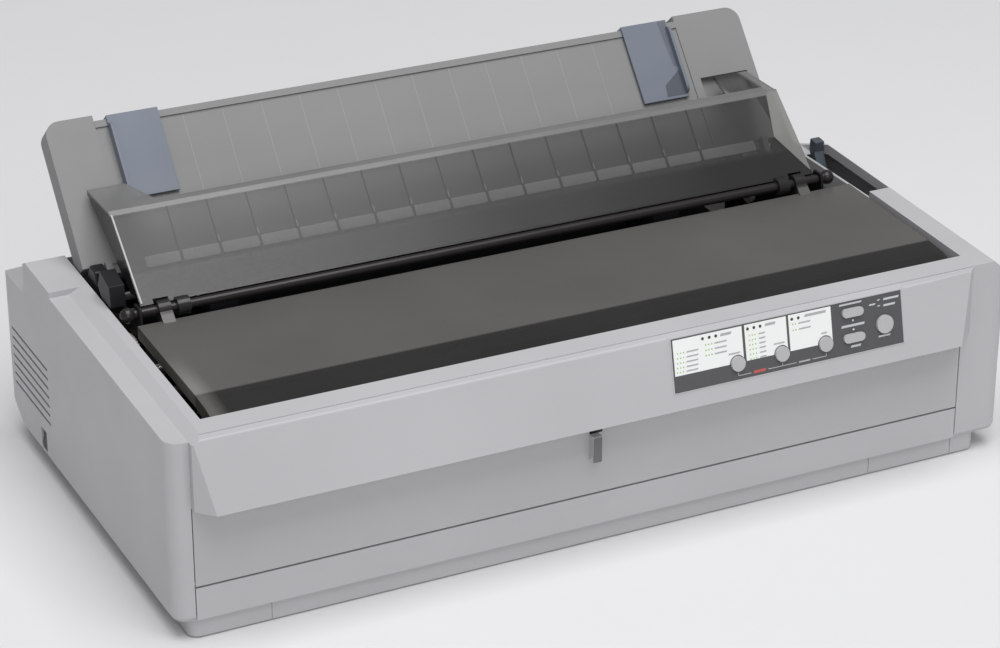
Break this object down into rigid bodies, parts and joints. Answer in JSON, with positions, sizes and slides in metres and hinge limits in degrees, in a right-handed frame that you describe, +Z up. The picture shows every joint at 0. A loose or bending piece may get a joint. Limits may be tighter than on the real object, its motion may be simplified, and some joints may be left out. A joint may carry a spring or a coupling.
{
  "type": "dot matrix printer",
  "caption": "Wide-carriage impact printer with smoked hinged covers, tilting paper guide, drop-down front door, sprung buttons, and a working carriage and paper feed.",
  "frame": {"origin": "centre of the printer's footprint at the height of its feet", "axes": "+X to the printer's right as its user sees it, +Y to the rear, +Z up"},
  "size_m": [0.639, 0.365, 0.2463],
  "materials": {
    "case_plastic": "fine spark texture",
    "guide_plastic": "fine spark texture",
    "edge_plastic": "satin blue-grey",
    "smoke_plastic": "clear smoked plastic",
    "foot_rubber": "matte",
    "plated_steel": "zinc plated",
    "sheet_steel": "zinc plated sheet",
    "polished_steel": "ground and polished",
    "bearing_plastic": "natural",
    "motor_steel": "black painted",
    "belt_rubber": "matte",
    "black_plastic": "satin",
    "panel_film": "printed film",
    "lamp_lens": "clear green",
    "circuit_board": "solder mask",
    "cartridge_plastic": "fine texture",
    "brass": "machined",
    "aluminium": "turned",
    "platen_rubber": "ground",
    "gear_plastic": "natural",
    "knob_plastic": "satin",
    "tractor_plastic": "satin",
    "carriage_plastic": "satin",
    "head_metal": "black cast, finned",
    "button_plastic": "satin",
    "lever_plastic": "satin"
  },
  "bodies": {
    "chassis": {"lower_case": "case_plastic", "upper_case": "case_plastic", "rubber_feet": "foot_rubber", "case_screws": "plated_steel", "base_plate": "sheet_steel", "left_frame": "sheet_steel", "right_frame": "sheet_steel", "bearings": "bearing_plastic", "guide_rails": "polished_steel", "feed_motor": "motor_steel", "paper_chute": "tractor_plastic", "carriage_motor": "motor_steel", "belt_tensioner": "sheet_steel", "drive_belt": "belt_rubber", "cover_rod": "black_plastic", "hinge_caps": "black_plastic", "control_panel": "panel_film", "indicator_lamps": "lamp_lens", "switch_board": "circuit_board", "main_board": "circuit_board", "power_supply": "plated_steel", "fan_housing": "black_plastic", "data_ports": "plated_steel", "ac_inlet": "black_plastic", "port_panel": "plated_steel", "ribbon_cartridge": "cartridge_plastic"},
    "platen": {"platen_core": "aluminium", "platen_rubber": "platen_rubber", "platen_gear": "gear_plastic", "platen_knob": "knob_plastic"},
    "pinion": {"feed_pinion": "brass"},
    "idler": {"idler_gear": "gear_plastic"},
    "tractor_drive": {"tractor_shaft": "polished_steel"},
    "left_tractor": {"left_tractor": "tractor_plastic"},
    "right_tractor": {"right_tractor": "tractor_plastic"},
    "left_gate": {"left_gate": "tractor_plastic"},
    "right_gate": {"right_gate": "tractor_plastic"},
    "left_sprocket": {"left_sprocket": "gear_plastic"},
    "right_sprocket": {"right_sprocket": "gear_plastic"},
    "drive_pulley": {"drive_pulley": "brass"},
    "idler_pulley": {"idler_pulley": "gear_plastic"},
    "carriage": {"carriage": "carriage_plastic", "print_head": "head_metal"},
    "ribbon_knob": {"ribbon_knob": "knob_plastic"},
    "front_cover": {"front_smoke_cover": "smoke_plastic"},
    "rear_cover": {"rear_smoke_cover": "smoke_plastic"},
    "paper_guide": {"paper_guide": "guide_plastic"},
    "left_edge_guide": {"left_edge_guide": "edge_plastic"},
    "right_edge_guide": {"right_edge_guide": "edge_plastic"},
    "front_door": {"front_door": "case_plastic"},
    "font_button": {"font_button": "button_plastic"},
    "pitch_button": {"pitch_button": "button_plastic"},
    "tear_off_button": {"tear_off_button": "button_plastic"},
    "load_button": {"load_button": "button_plastic"},
    "line_feed_button": {"line_feed_button": "button_plastic"},
    "pause_button": {"pause_button": "button_plastic"},
    "release_lever": {"release_lever": "lever_plastic"},
    "thickness_lever": {"thickness_lever": "lever_plastic"},
    "power_switch": {"power_switch": "black_plastic"},
    "fan_rotor": {"fan_rotor": "black_plastic"}
  },
  "joints": [
    {"name": "front_cover_hinge", "type": "hinge", "parent": "chassis", "child": "front_cover", "pos_m": [0, 0.0045, 0.158], "axis": [-1, 0, 0], "range_deg": [0, 80]},
    {"name": "rear_cover_hinge", "type": "hinge", "parent": "chassis", "child": "rear_cover", "pos_m": [0, 0.0045, 0.158], "axis": [1, 0, 0], "range_deg": [0, 35]},
    {"name": "paper_guide_hinge", "type": "hinge", "parent": "chassis", "child": "paper_guide", "pos_m": [0, 0.0685, 0.15], "axis": [-1, 0, 0], "range_deg": [0, 25]},
    {"name": "left_edge_guide_slide", "type": "slide", "parent": "paper_guide", "child": "left_edge_guide", "axis": [1, 0, 0], "range_m": [0, 0.15]},
    {"name": "right_edge_guide_slide", "type": "slide", "parent": "paper_guide", "child": "right_edge_guide", "axis": [1, 0, 0], "range_m": [-0.15, 0.007]},
    {"name": "front_door_hinge", "type": "hinge", "parent": "chassis", "child": "front_door", "pos_m": [0, -0.1633, 0.0424], "axis": [1, 0, 0], "range_deg": [0, 90]},
    {"name": "font_button_press", "type": "slide", "parent": "chassis", "child": "font_button", "axis": [0, 0.9754, -0.2204], "range_m": [0, 0.001], "stiffness_N_per_m": 300, "springref_m": -0.0005},
    {"name": "pitch_button_press", "type": "slide", "parent": "chassis", "child": "pitch_button", "axis": [0, 0.9754, -0.2204], "range_m": [0, 0.001], "stiffness_N_per_m": 300, "springref_m": -0.0005},
    {"name": "tear_off_button_press", "type": "slide", "parent": "chassis", "child": "tear_off_button", "axis": [0, 0.9754, -0.2204], "range_m": [0, 0.001], "stiffness_N_per_m": 300, "springref_m": -0.0005},
    {"name": "load_button_press", "type": "slide", "parent": "chassis", "child": "load_button", "axis": [0, 0.9754, -0.2204], "range_m": [0, 0.001], "stiffness_N_per_m": 300, "springref_m": -0.0005},
    {"name": "line_feed_button_press", "type": "slide", "parent": "chassis", "child": "line_feed_button", "axis": [0, 0.9754, -0.2204], "range_m": [0, 0.001], "stiffness_N_per_m": 300, "springref_m": -0.0005},
    {"name": "pause_button_press", "type": "slide", "parent": "chassis", "child": "pause_button", "axis": [0, 0.9754, -0.2204], "range_m": [0, 0.001], "stiffness_N_per_m": 300, "springref_m": -0.0005},
    {"name": "release_lever_turn", "type": "hinge", "parent": "chassis", "child": "release_lever", "pos_m": [0.3, 0.05, 0.118], "axis": [1, 0, 0], "range_deg": [0, 15]},
    {"name": "thickness_lever_turn", "type": "hinge", "parent": "chassis", "child": "thickness_lever", "pos_m": [-0.283, 0.034, 0.146], "axis": [1, 0, 0], "range_deg": [0, 20]},
    {"name": "power_switch_rock", "type": "hinge", "parent": "chassis", "child": "power_switch", "pos_m": [-0.3141, 0.0985, 0.0275], "axis": [0, -1, 0], "range_deg": [0, 16]},
    {"name": "fan_spin", "type": "hinge", "parent": "chassis", "child": "fan_rotor", "pos_m": [-0.309, 0.1245, 0.068], "axis": [1, 0, 0], "continuous": true},
    {"name": "ribbon_knob_spin", "type": "hinge", "parent": "chassis", "child": "ribbon_knob", "pos_m": [-0.215, -0.107, 0.125], "axis": [0, 0, 1], "continuous": true},
    {"name": "carriage_slide", "type": "slide", "parent": "chassis", "child": "carriage", "axis": [1, 0, 0], "range_m": [-0.18, 0.18]},
    {"name": "drive_pulley_spin", "type": "hinge", "parent": "chassis", "child": "drive_pulley", "pos_m": [0.229, -0.06, 0.074], "axis": [0, 0, 1], "range_deg": [-1600, 1600]},
    {"name": "idler_pulley_spin", "type": "hinge", "parent": "chassis", "child": "idler_pulley", "pos_m": [-0.243, -0.06, 0.074], "axis": [0, 0, 1], "range_deg": [-1600, 1600]},
    {"name": "platen_spin", "type": "hinge", "parent": "chassis", "child": "platen", "pos_m": [0, 0.006, 0.112], "axis": [1, 0, 0], "continuous": true},
    {"name": "pinion_spin", "type": "hinge", "parent": "chassis", "child": "pinion", "pos_m": [-0.281, -0.00179, 0.07788], "axis": [1, 0, 0], "continuous": true},
    {"name": "idler_spin", "type": "hinge", "parent": "chassis", "child": "idler", "pos_m": [-0.281, 0.06, 0.112], "axis": [1, 0, 0], "continuous": true},
    {"name": "tractor_drive_spin", "type": "hinge", "parent": "chassis", "child": "tractor_drive", "pos_m": [0, 0.1, 0.112], "axis": [1, 0, 0], "continuous": true},
    {"name": "left_tractor_slide", "type": "slide", "parent": "chassis", "child": "left_tractor", "axis": [1, 0, 0], "range_m": [-0.045, 0.15]},
    {"name": "right_tractor_slide", "type": "slide", "parent": "chassis", "child": "right_tractor", "axis": [1, 0, 0], "range_m": [-0.15, 0.045]},
    {"name": "left_sprocket_spin", "type": "hinge", "parent": "left_tractor", "child": "left_sprocket", "pos_m": [-0.187, 0.1, 0.112], "axis": [1, 0, 0], "continuous": true},
    {"name": "left_gate_hinge", "type": "hinge", "parent": "left_tractor", "child": "left_gate", "pos_m": [-0.196, 0.1, 0.1207], "axis": [0, -1, 0], "range_deg": [0, 115]},
    {"name": "right_sprocket_spin", "type": "hinge", "parent": "right_tractor", "child": "right_sprocket", "pos_m": [0.173, 0.1, 0.112], "axis": [1, 0, 0], "continuous": true},
    {"name": "right_gate_hinge", "type": "hinge", "parent": "right_tractor", "child": "right_gate", "pos_m": [0.182, 0.1, 0.1207], "axis": [0, 1, 0], "range_deg": [0, 115]}
  ],
  "couplings": [
    {"joint": "drive_pulley_spin", "follows": "carriage_slide", "rad_per_m": 137.93},
    {"joint": "idler_pulley_spin", "follows": "carriage_slide", "rad_per_m": 137.93},
    {"joint": "pinion_spin", "follows": "platen_spin", "ratio": -4},
    {"joint": "idler_spin", "follows": "platen_spin", "ratio": -1.0769},
    {"joint": "tractor_drive_spin", "follows": "platen_spin", "ratio": 2},
    {"joint": "left_sprocket_spin", "follows": "platen_spin", "ratio": 2},
    {"joint": "right_sprocket_spin", "follows": "platen_spin", "ratio": 2}
  ]
}
